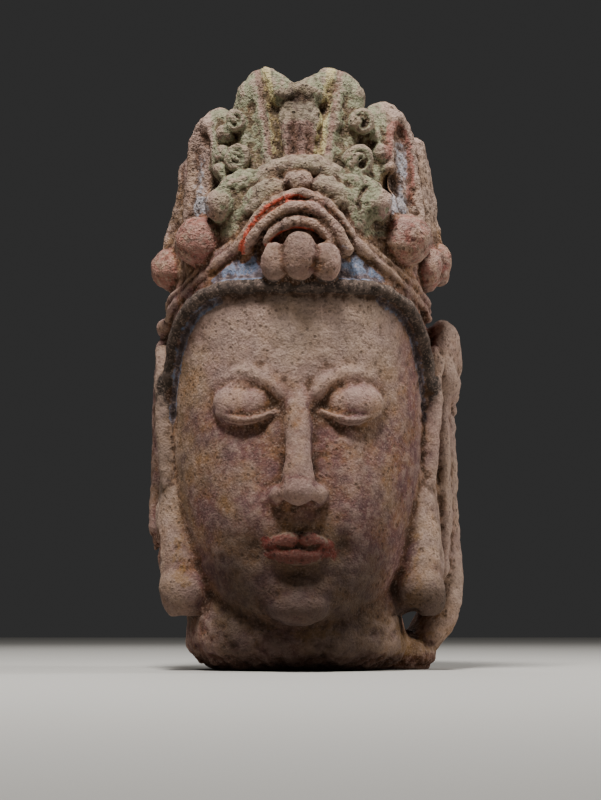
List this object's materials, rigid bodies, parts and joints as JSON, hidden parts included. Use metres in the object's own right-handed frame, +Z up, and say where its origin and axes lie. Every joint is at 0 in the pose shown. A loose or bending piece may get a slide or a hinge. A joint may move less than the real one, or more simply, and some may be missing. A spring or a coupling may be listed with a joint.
{
  "type": "carved bodhisattva head",
  "caption": "Over-life-size carved sandstone bodhisattva head with a tall leaf crown, fillet, pearls and long ears, standing upright on the flat break under its neck.",
  "frame": {"origin": "middle of the flat underside of the neck, on the surface that the head stands on", "axes": "+Z up the head to the crown, -Y the way the face looks, +X to the head's own left"},
  "size_m": [0.3249, 0.3169, 0.597],
  "materials": {
    "painted_sandstone": "weathered pinkish-brown sandstone, rough and grainy, with worn traces of blue, red, green and ochre pigment"
  },
  "bodies": {
    "root": {"bodhisattva_head": "painted_sandstone"}
  },
  "joints": []
}
